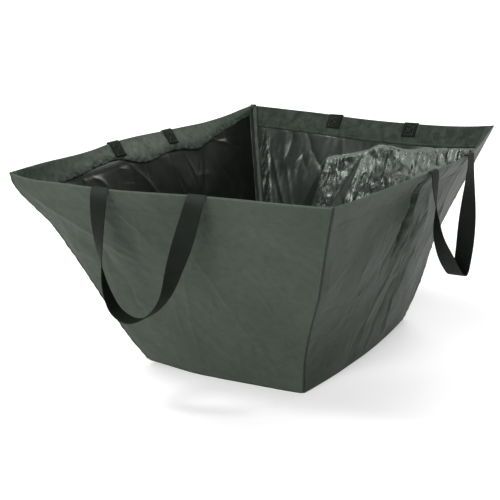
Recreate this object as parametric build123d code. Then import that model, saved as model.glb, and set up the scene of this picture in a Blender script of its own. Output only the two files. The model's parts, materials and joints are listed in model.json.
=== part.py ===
"""Large flared carrying bag of coated woven fabric with four webbing handles, as separate sewn pieces.

Millimetres, +Z up. The origin is on the floor under the middle of the base. The front wall faces -Y and
the right wall +X. The mouth is wider than the base, so every wall leans outward as it rises.
"""
from build123d import *
import math
import os

# Sizes of the bag
HEIGHT = 480.0                # floor to rim at a corner
BASE_HALF_X = 200.0           # half the base, across
BASE_HALF_Y = 289.0           # half the base, front to back
RIM_HALF_X = 373.0            # half the mouth at the corners, across
RIM_HALF_Y = 522.0            # half the mouth at the corners, front to back
RIM_SAG = 9.0                 # how far the middle of each wall's rim hangs below its corners
BULGE_POWER = 1.6             # how late up the wall the outward bulge grows

# Layers of fabric, measured level: a layer nearer the inside of the bag has a greater depth
PANEL_SKIN = 1.1
HEM_SKIN = 1.1
TAPE_SKIN = 0.9
THREAD = 0.6
SEAM_GAP = 0.2                # room between two sewn layers
TAPE_LIFT = 0.6               # room between a tape and the layers that it covers

# Hem
HEM_DEPTH = 48.0              # from the rim to the hem's row of stitches
HEM_MARGIN = 5.0              # hem fabric below that row
HEM_FLARE = 12.0              # how far the hem leans out beyond the wall's own line

# Tapes and stitches
BINDING_WIDTH = 17.0          # each leg of the corner binding
BINDING_LOW = 6.0             # where the binding starts above the floor
BINDING_NUB = 4.0             # how far its folded top stands above the corner
BASE_TAPE_WIDTH = 16.0
BASE_TAPE_SHARE = 0.93        # how much of each bottom edge the tape covers
STITCH_WIDTH = 1.2
CORNER_STITCH_INSET = 4.0     # from the corner's edge to its row of stitches
CORNER_STITCH_LIFT = 0.4      # room under that row, where the wall is slightly hollow

# Webbing
STRAP_WIDTH = 40.0
STRAP_THICK = 1.8
STUB_LENGTH = 45.0            # webbing sewn down inside the rim
STUB_SLOPE = 0.75             # rise of the hem for each millimetre along it
STUB_ROOM = 1.0               # room between a sewn end and the hem
STUB_LIFT = 0.6               # room under the webbing where it goes over the rim
STUB_REACH = 0.3              # how far a sewn end reaches out past the rim's outer edge
PIVOT_OUT = 3.5               # from the rim's outer edge to the line that a handle folds about
BOX_STITCH_INSET = 5.0        # from the webbing's edge to the stitches on its sewn end
TWIST_SHARE = 0.42            # part of the loop over which each hanging side makes its quarter turn

# How finely the curved sheets are divided
COLUMNS = 12
LOWER_ROWS = 4
HEM_ROWS = 2
BINDING_ROWS = 8
STRAP_STEPS = 30

# One entry per wall: the way that it faces, its size, its bows and its handle.
# mirror is -1 where the handle hangs the other way round.
WALLS = {
    "front": dict(turn=0, base_half=BASE_HALF_X, rim_half=RIM_HALF_X, base_out=BASE_HALF_Y,
                  rim_out=RIM_HALF_Y, base_bow=6.0, rim_bow=40.0, strap_at=112.0, loop="round", mirror=1),
    "right": dict(turn=90, base_half=BASE_HALF_Y, rim_half=RIM_HALF_Y, base_out=BASE_HALF_X,
                  rim_out=RIM_HALF_X, base_bow=18.0, rim_bow=42.0, strap_at=117.0, loop="folded", mirror=1),
    "back": dict(turn=180, base_half=BASE_HALF_X, rim_half=RIM_HALF_X, base_out=BASE_HALF_Y,
                 rim_out=RIM_HALF_Y, base_bow=6.0, rim_bow=20.0, strap_at=112.0, loop="round", mirror=-1),
    "left": dict(turn=270, base_half=BASE_HALF_Y, rim_half=RIM_HALF_Y, base_out=BASE_HALF_X,
                 rim_out=RIM_HALF_X, base_bow=18.0, rim_bow=30.0, strap_at=117.0, loop="folded", mirror=-1),
}
# Each corner joins the right end of one wall to the left end of the next
CORNERS = {
    "front_left": ("left", "front"),
    "front_right": ("front", "right"),
    "back_right": ("right", "back"),
    "back_left": ("back", "left"),
}

# Hanging line of a handle between its two ends: (along the wall, up from the fold line)
LOOP_LINES = {
    "round": [(-118, -34), (-121, -85), (-118, -145), (-108, -205), (-84, -250), (-47, -265),
              (-6, -249), (32, -209), (62, -134), (92, -52)],
    "folded": [(-106, -36), (-95, -85), (-80, -138), (-42, -188), (10, -238), (50, -263),
               (74, -262), (94, -226), (108, -165), (116, -90), (120, -36)],
}
# Which face of the webbing turns to the inside of the loop at its bottom
LOOP_TWIST = {"round": 1, "folded": -1}


def ease(value):
    """Smooth step from 0 to 1."""
    value = max(0.0, min(1.0, value))
    return value * value * (3 - 2 * value)


def steps(start, end, count):
    return [start + (end - start) * i / count for i in range(count + 1)]


# Places up a wall, as shares of its height
HEM_STITCH_RISE = 1 - HEM_DEPTH / HEIGHT
HEM_EDGE_RISE = HEM_STITCH_RISE - HEM_MARGIN / HEIGHT
HEM_RISES = [HEM_EDGE_RISE] + steps(HEM_STITCH_RISE, 1, HEM_ROWS)
LOWER_RISES = steps(0, HEM_EDGE_RISE, LOWER_ROWS)

# Places along a wall, from -1 at its left end to 1 at its right
CORNER_END = 1 - SEAM_GAP / RIM_HALF_X
ACROSSES = steps(-CORNER_END, CORNER_END, COLUMNS)

# Depths into the bag
HEM_START = PANEL_SKIN + SEAM_GAP
BINDING_START = HEM_START + HEM_SKIN + SEAM_GAP + TAPE_LIFT
STUB_START = HEM_START + HEM_SKIN + SEAM_GAP + STUB_ROOM


def place(wall, along, out, height):
    """Turns a wall's own coordinates (along it, out from the middle, up) into the bag's."""
    angle = math.radians(WALLS[wall]["turn"])
    x = along * math.cos(angle) + out * math.sin(angle)
    y = along * math.sin(angle) - out * math.cos(angle)
    return Vector(x, y, height)


def wall_half(wall, rise):
    w = WALLS[wall]
    return w["base_half"] + (w["rim_half"] - w["base_half"]) * rise


def wall_point(wall, across, rise, depth=0.0):
    """Point on a wall: across runs -1 to 1 along it, rise 0 to 1 up it, depth goes into the bag."""
    w = WALLS[wall]
    middle = 1 - across * across
    flare = HEM_FLARE * ease((rise - 1) * HEIGHT / HEM_DEPTH + 1)
    bulge = w["base_bow"] * (1 - rise) + (w["rim_bow"] - HEM_FLARE) * rise ** BULGE_POWER
    out = w["base_out"] + (w["rim_out"] - w["base_out"]) * rise - depth + middle * (bulge + flare)
    height = HEIGHT * rise - RIM_SAG * middle * rise * rise
    return place(wall, across * (wall_half(wall, rise) - depth), out, height)


def rim_edge(wall):
    """Distance out and height of the rim's outer edge where a handle crosses it."""
    w = WALLS[wall]
    across = w["strap_at"] / w["rim_half"]
    middle = 1 - across * across
    return w["rim_out"] + middle * w["rim_bow"], HEIGHT - RIM_SAG * middle


def triangle(a, b, c):
    return Face(Wire.make_polygon([a, b, c], close=True))


def slab(outer, inner):
    """Closed solid between two grids of points that face each other."""
    rows = len(outer)
    cols = len(outer[0])
    faces = []

    def quad(a, b, c, d):
        faces.append(triangle(a, b, c))
        faces.append(triangle(a, c, d))

    for i in range(rows - 1):
        for j in range(cols - 1):
            quad(outer[i][j], outer[i][j + 1], outer[i + 1][j + 1], outer[i + 1][j])
            quad(inner[i][j], inner[i + 1][j], inner[i + 1][j + 1], inner[i][j + 1])
    for i in range(rows - 1):
        quad(outer[i][0], outer[i + 1][0], inner[i + 1][0], inner[i][0])
        quad(outer[i][-1], inner[i][-1], inner[i + 1][-1], outer[i + 1][-1])
    for j in range(cols - 1):
        quad(outer[0][j], inner[0][j], inner[0][j + 1], outer[0][j + 1])
        quad(outer[-1][j], outer[-1][j + 1], inner[-1][j + 1], inner[-1][j])
    return Solid(Shell(faces))


def strip(wall, acrosses_by_rise, depth, thick):
    """Layer on a wall, given for each rise the places across it: {rise: [across, ...]}."""
    outer = []
    inner = []
    for rise, acrosses in acrosses_by_rise.items():
        outer.append([wall_point(wall, s, rise, depth) for s in acrosses])
        inner.append([wall_point(wall, s, rise, depth + thick) for s in acrosses])
    return slab(outer, inner)


def panel(wall):
    rises = LOWER_RISES + HEM_RISES[1:]
    return strip(wall, {rise: ACROSSES for rise in rises}, 0, PANEL_SKIN)


def rim_hem(wall):
    return strip(wall, {rise: ACROSSES for rise in HEM_RISES}, HEM_START, HEM_SKIN)


def hem_stitching(wall):
    """Row of stitches that shows outside, near the hem's lower edge."""
    end = 1 - 2.5 * CORNER_STITCH_INSET / wall_half(wall, HEM_STITCH_RISE)
    acrosses = [-end] + ACROSSES[1:-1] + [end]
    rises = [HEM_STITCH_RISE - STITCH_WIDTH / HEIGHT, HEM_STITCH_RISE]
    return strip(wall, {rise: acrosses for rise in rises}, -SEAM_GAP - THREAD, THREAD)


def base_panel():
    """Flat bottom inside the feet of the walls, its edges bowed a little outward."""
    edge = []
    for wall in WALLS:
        edge += [wall_point(wall, s, 0, HEM_START) for s in ACROSSES]
    return extrude(Face(Wire.make_polygon(edge, close=True)), PANEL_SKIN, dir=(0, 0, 1))


def base_tape(wall):
    """Tape inside the bottom edge, over the seam of this wall and the base."""
    acrosses = steps(-BASE_TAPE_SHARE, BASE_TAPE_SHARE, COLUMNS)
    low = (PANEL_SKIN + SEAM_GAP + TAPE_SKIN) / HEIGHT
    rises = [low, low + BASE_TAPE_WIDTH / HEIGHT]
    return strip(wall, {rise: acrosses for rise in rises}, HEM_START + TAPE_LIFT, TAPE_SKIN)


def corner_binding(corner):
    """Tape over the seam allowances inside a corner, with a folded nub above the rim."""
    first, second = CORNERS[corner]
    outer = []
    inner = []
    levels = [(rise, 0) for rise in steps(BINDING_LOW / HEIGHT, 1, BINDING_ROWS)] + [(1, BINDING_NUB)]
    for rise, lift in levels:
        first_end = 1 - BINDING_WIDTH / wall_half(first, rise)
        second_end = -1 + BINDING_WIDTH / wall_half(second, rise)
        for grid, depth in ((outer, BINDING_START), (inner, BINDING_START + TAPE_SKIN)):
            row = [wall_point(first, first_end, rise, depth),
                   wall_point(first, 1, rise, depth),
                   wall_point(second, second_end, rise, depth)]
            grid.append([point + Vector(0, 0, lift) for point in row])
    return slab(outer, inner)


def corner_stitching(corner):
    """Two rows of stitches beside a corner, one on each wall."""
    rows = []
    for wall, side in zip(CORNERS[corner], (1, -1)):
        places = {}
        for rise in steps(0.01, 0.995, BINDING_ROWS):
            half = wall_half(wall, rise)
            near = side * (1 - CORNER_STITCH_INSET / half)
            far = side * (1 - (CORNER_STITCH_INSET + STITCH_WIDTH) / half)
            places[rise] = sorted((near, far))
        rows.append(strip(wall, places, -CORNER_STITCH_LIFT - THREAD, THREAD))
    return Compound(children=rows)


def strap_places(wall, side, rise, left=0.0, right=STRAP_WIDTH):
    """Places across the wall of two lines along a handle's sewn end, measured from its left edge."""
    start = side * WALLS[wall]["strap_at"] - STRAP_WIDTH / 2
    half = wall_half(wall, rise)
    return [(start + left) / half, (start + right) / half]


def strap_stub(wall, side):
    """Sewn end of a handle: up the inside of the hem and over the rim."""
    face = []
    back = []
    for drop in (STUB_LENGTH, STUB_LENGTH / 2):
        rise = 1 - drop * STUB_SLOPE / HEIGHT
        edges = strap_places(wall, side, rise)
        face.append([wall_point(wall, s, rise, STUB_START) for s in edges])
        back.append([wall_point(wall, s, rise, STUB_START + STRAP_THICK) for s in edges])
    edges = strap_places(wall, side, 1)
    low = Vector(0, 0, STUB_LIFT)
    high = Vector(0, 0, STUB_LIFT + STRAP_THICK)
    face.append([wall_point(wall, s, 1, STUB_START) + low for s in edges])
    back.append([wall_point(wall, s, 1, STUB_START + STRAP_THICK) + high for s in edges])
    face.append([wall_point(wall, s, 1, -STUB_REACH) + low for s in edges])
    back.append([wall_point(wall, s, 1, -STUB_REACH) + high for s in edges])
    return slab(face, back)


def box_stitching(wall):
    """Two rows of thread on the inner face of each sewn end."""
    rises = [1 - STUB_LENGTH * share * STUB_SLOPE / HEIGHT for share in (0.9, 0.55)]
    right_row = STRAP_WIDTH - BOX_STITCH_INSET - STITCH_WIDTH
    rows = []
    for side in (-1, 1):
        for left in (BOX_STITCH_INSET, right_row):
            places = {rise: strap_places(wall, side, rise, left, left + STITCH_WIDTH) for rise in rises}
            rows.append(strip(wall, places, STUB_START + STRAP_THICK + SEAM_GAP, THREAD))
    return Compound(children=rows)


def loop_curve(wall):
    """Centreline of a hanging handle, in the plane along its wall: (along, height)."""
    w = WALLS[wall]
    top = rim_edge(wall)[1]
    line = [(-w["strap_at"], 0)] + LOOP_LINES[w["loop"]] + [(w["strap_at"], 0)]
    if w["mirror"] < 0:
        line = [(-along, up) for along, up in reversed(line)]
    return Spline(*[(along, top + up) for along, up in line], tangents=[(0, -1), (0, 1)])


def strap_loop(wall):
    """Free webbing of a handle: flat along the rim at its ends, with a quarter turn in each hanging side."""
    w = WALLS[wall]
    out = rim_edge(wall)[0] + PIVOT_OUT
    curve = loop_curve(wall)
    sense = LOOP_TWIST[w["loop"]] * w["mirror"]
    face_grid = []
    back_grid = []
    for t in steps(0, 1, STRAP_STEPS):
        point = curve @ t
        tangent = curve % t
        quarter = math.pi / 2 * ease(min(t, 1 - t) / TWIST_SHARE)
        # All in (along, out, up). The face looks out at the ends, and across the loop in the middle.
        run = Vector(tangent.X, 0, tangent.Y)
        sideways = Vector(tangent.Y, 0, -tangent.X) * sense
        face = sideways * math.sin(quarter) + Vector(0, math.cos(quarter), 0)
        width = face.cross(run)
        middle = Vector(point.X, out, point.Y)
        for grid, lift in ((face_grid, STRAP_THICK / 2), (back_grid, -STRAP_THICK / 2)):
            corners = [middle + face * lift + width * reach for reach in (-STRAP_WIDTH / 2, STRAP_WIDTH / 2)]
            grid.append([place(wall, *corner) for corner in corners])
    return slab(face_grid, back_grid)


def build():
    parts = {"base_panel": base_panel()}
    for wall in WALLS:
        parts[f"{wall}_panel"] = panel(wall)
        parts[f"{wall}_rim_hem"] = rim_hem(wall)
        parts[f"{wall}_hem_stitching"] = hem_stitching(wall)
        parts[f"{wall}_base_tape"] = base_tape(wall)
        parts[f"{wall}_handle_loop"] = strap_loop(wall)
        parts[f"{wall}_handle_left_end"] = strap_stub(wall, -1)
        parts[f"{wall}_handle_right_end"] = strap_stub(wall, 1)
        parts[f"{wall}_handle_box_stitching"] = box_stitching(wall)
    for corner in CORNERS:
        parts[f"{corner}_seam_binding"] = corner_binding(corner)
        parts[f"{corner}_seam_stitching"] = corner_stitching(corner)
    return parts


os.makedirs("parts", exist_ok=True)
for name, shape in build().items():
    export_step(shape, f"parts/{name}.step")
for wall in WALLS:
    out, top = rim_edge(wall)
    print(f"{wall} handle folds about a line {out + PIVOT_OUT:.2f} out and {top:.2f} up")
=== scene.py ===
"""Looks of a large flared carrying bag: coated woven fabric, taped seams and four webbing handles.

Metres, +Z up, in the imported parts' own frame: the front wall faces -Y and the right wall +X. Places on a
wall are given as (across, rise): across runs from -1 at its left end to 1 at its right end, seen from
outside, and rise from 0 at the floor to 1 at the rim.
"""
import bpy
import json
import math
import numpy as np
from mathutils import Matrix, Vector
from mathutils.geometry import delaunay_2d_cdt


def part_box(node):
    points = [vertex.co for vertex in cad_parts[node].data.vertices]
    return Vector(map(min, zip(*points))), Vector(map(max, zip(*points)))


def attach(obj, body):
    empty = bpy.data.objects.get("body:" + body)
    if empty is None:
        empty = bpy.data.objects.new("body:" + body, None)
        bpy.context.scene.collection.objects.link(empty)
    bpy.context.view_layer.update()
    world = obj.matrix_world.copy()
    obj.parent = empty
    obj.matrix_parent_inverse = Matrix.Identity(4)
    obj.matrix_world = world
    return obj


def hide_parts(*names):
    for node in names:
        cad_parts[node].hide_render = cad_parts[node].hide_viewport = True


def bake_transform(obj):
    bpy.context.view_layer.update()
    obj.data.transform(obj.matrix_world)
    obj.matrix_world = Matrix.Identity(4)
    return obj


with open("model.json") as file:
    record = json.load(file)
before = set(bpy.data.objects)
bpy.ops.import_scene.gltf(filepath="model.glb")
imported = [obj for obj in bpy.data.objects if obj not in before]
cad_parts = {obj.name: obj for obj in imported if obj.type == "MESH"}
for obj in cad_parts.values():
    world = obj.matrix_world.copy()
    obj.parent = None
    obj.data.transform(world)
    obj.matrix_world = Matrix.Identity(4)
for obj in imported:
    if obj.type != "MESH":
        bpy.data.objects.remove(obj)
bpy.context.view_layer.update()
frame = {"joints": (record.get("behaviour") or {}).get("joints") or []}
MM = 0.001


def add_object(name, data):
    obj = bpy.data.objects.new(name, data)
    bpy.context.scene.collection.objects.link(obj)
    return obj


# ---------------------------------------------------------------- camera
CAMERA_AT = (1.2094, -2.3130, 0.9128)
CAMERA_YAW = 29.33            # degrees to the right of the front
CAMERA_PITCH = 14.70          # degrees down
CAMERA_ROLL = -0.63
CAMERA_LENS = 81.1            # mm
SENSOR = 36                   # mm wide


def make_camera():
    data = bpy.data.cameras.new("camera")
    data.sensor_width = SENSOR
    data.lens = CAMERA_LENS
    obj = add_object("camera", data)
    turn = Matrix.Rotation(math.radians(CAMERA_YAW), 4, "Z")
    tilt = Matrix.Rotation(math.radians(90 - CAMERA_PITCH), 4, "X")
    roll = Matrix.Rotation(math.radians(CAMERA_ROLL), 4, "Z")
    obj.matrix_world = Matrix.Translation(CAMERA_AT) @ turn @ tilt @ roll
    bpy.context.scene.camera = obj


make_camera()

# ---------------------------------------------------------------- sizes
HINGE = {joint["child"].split("_")[0]: joint["pos_m"] for joint in frame["joints"]}
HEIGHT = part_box("front_panel")[1].z
RIM_HALF_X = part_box("front_panel")[1].x
RIM_HALF_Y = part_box("right_panel")[1].y
BASE_HALF_X = 200 * MM
BASE_HALF_Y = 289 * MM
RIM_SAG = 9 * MM              # how far the middle of each wall's rim hangs below its corners
BULGE_POWER = 1.6             # how late up the wall the outward bulge grows
HEM_DEPTH = 48 * MM           # from the rim to the hem's row of stitches
HEM_MARGIN = 5 * MM           # hem fabric below that row
HEM_FLARE = 12 * MM           # how far the hem leans out beyond the wall's own line
HEM_STITCH_RISE = 1 - HEM_DEPTH / HEIGHT
HEM_EDGE_RISE = HEM_STITCH_RISE - HEM_MARGIN / HEIGHT
HEM_ROWS = 16                 # of the hem's mesh below the fold
HEM_SHADE_STRIP = 26 * MM          # height of the strip of painted shade above the raw edge

FABRIC = 0.6 * MM
FOLD_RADIUS = 1.5 * MM        # of the hem's fold at the rim
HEM_FACE = 2 * FOLD_RADIUS    # depth of the hem's inner face at the fold
HEM_SEWN = 2 * FABRIC + 0.15 * MM     # and where it is sewn down
HEM_SWELL = 34 * MM           # distance above the stitches over which the one becomes the other
SEAM_DIP = 2.6 * MM           # how far the fabric dips into a corner seam
SEAM_REACH = 3.5 * MM
PIPING = 1.7 * MM             # radius of the dark edge that shows in a corner seam
TAPE = 0.7 * MM
BINDING_WIDTH = 15 * MM       # each leg of a corner's binding
BINDING_PUFF = 2.6 * MM       # how far the seam allowances under it stand up
BASE_TAPE_WIDTH = 16 * MM

STRAP_WIDTH = 40 * MM
STRAP_COLUMNS = 11            # points across each face of the webbing
STRAP_THICK = 1.7 * MM
STUB_DROP = 34 * MM           # how far below the rim a sewn end reaches
STRAP_OUT = 4 * MM            # how far outside the rim the webbing comes down
PIVOT_OUT = 3.5 * MM
TWIST_SHARE = 0.42            # part of the loop over which each hanging side makes its quarter turn
TWIST_STRAIGHT = 0.46         # the same for the side of a round loop that hangs straighter
RIM_REACH = 45 * MM           # over which webbing that comes over the rim turns into the loop's own twist
RIM_HIGHLIGHT_REACH = 16 * MM           # half width of the painted highlight where the webbing comes over the rim
RUB_BOTTOM = (0.46, 0.07)     # middle and half width of the patch near a loop's bottom, as shares of it

THREAD = 0.35 * MM            # radius
STITCH = 4.2 * MM             # pitch
STITCH_SHARE = 0.78           # part of the pitch that a stitch covers
THREAD_SIDES = 6
THREAD_SHAPE = ((0, 0.45), (0.16, 1), (0.5, 1.1), (0.84, 1), (1, 0.45))   # (share of a stitch, thickness)
CLEAR = 0.1 * MM              # from what is sewn to the middle of the thread
SEAM_ROW = 5 * MM             # from a corner to the stitches beside it
PANEL_STEP = 3.2 * MM         # between points of a wall's mesh

# What the two short walls share, and the two long ones: half their length and their distance from the
# bag's middle at the base and at the rim, how far they bow out at the base, where the handle's ends are
# sewn, the shape of its loop, and the mean angle and spread of the small creases, in radians
SHORT = dict(base_half=BASE_HALF_X, rim_half=RIM_HALF_X, base_out=BASE_HALF_Y, rim_out=RIM_HALF_Y,
             base_bow=6 * MM, strap_at=112 * MM, loop="round", leaning=(1.2, 0.6), soil=0, hem_wear=0,
             hem_soil=0)
LONG = dict(SHORT, base_half=BASE_HALF_Y, rim_half=RIM_HALF_Y, base_out=BASE_HALF_X, rim_out=RIM_HALF_X,
            base_bow=18 * MM, strap_at=117 * MM, loop="folded")
# And what they don't: mirror -1 swaps a loop's left and right, and strengths say how strong each effect is
# there: the handle's painted highlight over the rim and its wear near the bottom, the loose hem, the
# crumpling, a darkening of the outer face, painted light over the hem and painted shade over it
WALLS = {
    "front": dict(SHORT, turn=0, rim_bow=40 * MM, mirror=1, lit_and_worn=1.0, loose_hem=0.5, crumpled=1.2),
    "right": dict(LONG, turn=90, rim_bow=42 * MM, mirror=1, lit_and_worn=0.1, loose_hem=0.5, crumpled=1.0,
                  leaning=(1.85, 0.25), soil=0.28),
    "back": dict(SHORT, turn=180, rim_bow=20 * MM, mirror=-1, lit_and_worn=0.3, loose_hem=0.15, crumpled=0.5,
                 hem_soil=0.9),
    "left": dict(LONG, turn=270, rim_bow=30 * MM, mirror=-1, lit_and_worn=0.8, loose_hem=2.0, crumpled=0.4,
                 hem_wear=2.6),
}
# Each corner joins the right end of one wall to the left end of the next
CORNERS = {
    "front_left": ("left", "front"),
    "front_right": ("front", "right"),
    "back_right": ("right", "back"),
    "back_left": ("back", "left"),
}

# How the soft bag leaves its regular shape. Millimetres up at places along each rim:
RIM_LIFT = {
    "front": [(-1, -7), (-0.85, -10.5), (-0.6, -6), (-0.2, -2.5), (0.2, 2.5), (0.5, 2), (0.75, -2),
              (1, -7)],
    "right": [(-1, -7), (-0.8, -3), (-0.4, 1), (0.0, -2), (0.5, 0), (1, 1)],
    "back": [(-1, 1), (-0.85, -3), (-0.42, -7), (-0.1, -5), (0.2, 0), (0.35, 4), (0.65, 8), (1, 11)],
    "left": [(-1, 11), (-0.9, 7), (-0.78, 1), (-0.6, -3), (-0.3, 0), (0.25, 3), (0.4, -2.5), (0.8, -4),
             (1, -7)],
}
# Shares of its whole flare by which each corner seam stands out or in, at places up it:
CORNER_FLARE = {
    "front_left": [(0, 0), (0.12, 0.016), (0.25, 0.012), (0.4, -0.005), (0.62, -0.022), (0.76, -0.018),
                   (0.85, 0.02), (0.94, 0.042), (1, 0.012)],
    "front_right": [(0, 0), (0.18, -0.10), (0.37, -0.06), (0.54, 0.03), (0.8, 0.03), (1, 0.05)],
    "back_right": [(0, 0), (0.12, -0.012), (0.22, -0.04), (0.4, -0.115), (0.75, -0.125), (1, -0.115)],
    "back_left": [(0, 0), (0.3, 0.03), (0.6, 0.05), (0.85, 0.02), (1, 0)],
}
CORNER_FROM = 0.2             # place along a wall from which the corner's shape pulls on it
# Millimetres by which the raw edge of a wall's hem wanders up or down:
HEM_WANDER = {
    "left": [(-1, 30), (-0.88, 26), (-0.72, 18), (-0.56, 5), (-0.45, -7), (-0.27, 1), (-0.13, 1),
             (0.02, -9), (0.11, -7), (0.26, 15), (0.4, 17), (0.65, 4), (1, 0)],
}
# Millimetres by which each foot of a corner seam stands off the floor:
FOOT_LIFT = {"front_left": 9, "front_right": 0, "back_right": 2, "back_left": 4}

# Hanging line of a handle between its ends, in millimetres: (along the wall, up from the fold line)
LOOP_LINES = {
    "round": [(-118, -34), (-121, -85), (-118, -145), (-108, -205), (-84, -250), (-47, -265),
              (-6, -249), (32, -209), (62, -134), (92, -52)],
    "folded": [(-106, -36), (-95, -85), (-80, -138), (-42, -188), (10, -238), (52, -265),
               (72, -264), (94, -226), (108, -165), (116, -90), (120, -36)],
}
# Which face of the webbing turns to the inside of the loop at its bottom
LOOP_TWIST = {"round": 1, "folded": -1}


# ---------------------------------------------------------------- shape of the walls
def ease(value):
    value = np.clip(value, 0.0, 1.0)
    return value * value * (3 - 2 * value)


def unit(vectors):
    return vectors / np.linalg.norm(vectors, axis=-1, keepdims=True)


def through(knots, x):
    """Smooth line through a short list of (x, y)."""
    xs = np.array([knot[0] for knot in knots], float)
    ys = np.array([knot[1] for knot in knots], float)
    x = np.clip(x, xs[0], xs[-1])
    slopes = np.gradient(ys, xs)
    i = np.clip(np.searchsorted(xs, x, side="right") - 1, 0, len(xs) - 2)
    gap = xs[i + 1] - xs[i]
    t = (x - xs[i]) / gap
    return ((1 + 2 * t) * (1 - t) ** 2 * ys[i] + t * (1 - t) ** 2 * gap * slopes[i]
            + t * t * (3 - 2 * t) * ys[i + 1] + t * t * (t - 1) * gap * slopes[i + 1])


def facing(wall):
    """Level direction that a wall faces."""
    turn = math.radians(WALLS[wall]["turn"])
    return np.array([math.sin(turn), -math.cos(turn), 0.0])


def place(wall, along, out, height):
    """Turns a wall's own coordinates (along it, out from the middle, up) into the bag's."""
    face_x, face_y, _ = facing(wall)
    x = -along * face_y + out * face_x
    y = along * face_x + out * face_y
    return np.stack(np.broadcast_arrays(x, y, height), axis=-1)


def wall_half(wall, rise):
    w = WALLS[wall]
    return w["base_half"] + (w["rim_half"] - w["base_half"]) * rise


def slant(wall):
    """Height of a wall measured along its slope."""
    w = WALLS[wall]
    return math.hypot(HEIGHT, w["rim_out"] - w["base_out"])


def plain_wall(wall, across, rise):
    """The wall with no creases."""
    w = WALLS[wall]
    up = np.maximum(rise, 0)
    middle = 1 - across ** 2
    flare = HEM_FLARE * ease((rise - 1) * HEIGHT / HEM_DEPTH + 1)
    bulge = w["base_bow"] * (1 - rise) + (w["rim_bow"] - HEM_FLARE) * up ** BULGE_POWER
    along = across * wall_half(wall, rise)
    out = w["base_out"] + (w["rim_out"] - w["base_out"]) * rise + middle * (bulge + flare)
    height = HEIGHT * rise - RIM_SAG * middle * up ** 2
    height = height + through(RIM_LIFT[wall], across) * MM * up ** 1.5
    for corner, (first, second) in CORNERS.items():
        if wall not in (first, second):
            continue
        end = 1 if wall == first else -1
        near = ease((across * end - CORNER_FROM) / (1 - CORNER_FROM))
        share = through(CORNER_FLARE[corner], up) * near
        along = along + end * (w["rim_half"] - w["base_half"]) * share
        out = out + (w["rim_out"] - w["base_out"]) * share
        height = height + FOOT_LIFT[corner] * MM * near * np.clip(1 - rise, 0, 1) ** 3
    return place(wall, along, out, height)


# ---------------------------------------------------------------- creases
CREASE_COLS = 420
CREASE_ROWS = 220
grid_across, grid_rise = np.meshgrid(np.linspace(-1, 1, CREASE_COLS), np.linspace(0, 1, CREASE_ROWS))
SEEDS = dict(relief=11, crinkle=77, outer_shading=55, pucker=200, loose=300, base=5)
CREST = 1.5 * MM              # blunts a crease's sharp crest
SWELL_WAVES = 14              # waves that add up to a field of swells
SMALL_CREASES = 70            # at random places on each wall
WALL_FACETS = ((90, 2.6, 4), (38, 1.2, 2))    # spacing and height in millimetres, and how often softened
# The relief fades out over these distances from a corner's seam, the rim and the floor
SEAM_FADE = 35 * MM
RIM_FADE = 70 * MM
FLOOR_FADE = 40 * MM


def flat_place(wall, across, rise):
    """Where a point of the wall lies on its flat cut, in metres."""
    return across * wall_half(wall, rise), rise * slant(wall)


FLAT = {wall: flat_place(wall, grid_across, grid_rise) for wall in WALLS}


def flat_line(wall, points):
    return [flat_place(wall, *point) for point in points]


def swells(a, b, rng, length, height):
    """Soft random swells of about one wavelength."""
    total = np.zeros_like(a)
    for _ in range(SWELL_WAVES):
        angle = rng.uniform(0, math.pi)
        wave = length * rng.uniform(0.7, 1.5)
        phase = rng.uniform(0, 2 * math.pi)
        total += np.cos(2 * math.pi * (a * math.cos(angle) + b * math.sin(angle)) / wave + phase)
    return height * total / math.sqrt(SWELL_WAVES)


def facets(a, b, rng, spacing, height):
    """Crumpled facets: random heights at scattered points, with flat triangles between them."""
    left, low = a.min() - spacing, b.min() - spacing
    cols = int((a.max() - left) / spacing) + 3
    rows = int((b.max() - low) / spacing) + 3
    points = [Vector((left + (i + rng.uniform(-0.45, 0.45)) * spacing,
                      low + (j + rng.uniform(-0.45, 0.45)) * spacing))
              for i in range(cols) for j in range(rows)]
    heights = rng.uniform(-height, height, len(points))
    verts, _, triangles, *_ = delaunay_2d_cdt(points, [], [], 0, 1e-7)
    # Points in order of b, so that each triangle only looks at the strip it crosses
    order = np.argsort(b, axis=None)
    flat_a, flat_b = a.ravel()[order], b.ravel()[order]
    total = np.zeros(a.size)
    for i, j, k in triangles:
        p, q, r = verts[i], verts[j], verts[k]
        first, last = np.searchsorted(flat_b, (min(p.y, q.y, r.y), max(p.y, q.y, r.y)))
        x, y = flat_a[first:last], flat_b[first:last]
        area = (q.x - p.x) * (r.y - p.y) - (r.x - p.x) * (q.y - p.y)
        s = ((x - p.x) * (r.y - p.y) - (r.x - p.x) * (y - p.y)) / area
        t = ((q.x - p.x) * (y - p.y) - (x - p.x) * (q.y - p.y)) / area
        inside = (s >= -1e-6) & (t >= -1e-6) & (s + t <= 1 + 1e-6)
        values = heights[i] * (1 - s - t) + heights[j] * s + heights[k] * t
        total[order[first:last][inside]] = values[inside]
    return total.reshape(a.shape)


def soften(field, times):
    for _ in range(times):
        padded = np.pad(field, 1, mode="edge")
        field = (padded[:-2, 1:-1] + padded[2:, 1:-1] + padded[1:-1, :-2] + padded[1:-1, 2:]
                 + 4 * padded[1:-1, 1:-1]) / 8
    return field


def crease(a, b, points, width, height):
    """Ridge through the points, or valley where height is negative, that fades out at both ends."""
    nearest = np.full_like(a, np.inf)
    along = np.zeros_like(a)
    count = len(points) - 1
    for index, (start, end) in enumerate(zip(points, points[1:])):
        step_a, step_b = end[0] - start[0], end[1] - start[1]
        length = math.hypot(step_a, step_b)
        run = np.clip(((a - start[0]) * step_a + (b - start[1]) * step_b) / length ** 2, 0, 1)
        off = np.hypot(a - start[0] - run * step_a, b - start[1] - run * step_b)
        along = np.where(off < nearest, (index + run) / count, along)
        nearest = np.minimum(off, nearest)
    crest = np.exp(-(np.hypot(nearest, CREST) - CREST) / width)
    return height * np.sin(math.pi * (0.03 + 0.94 * along)) ** 0.8 * crest


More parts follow.
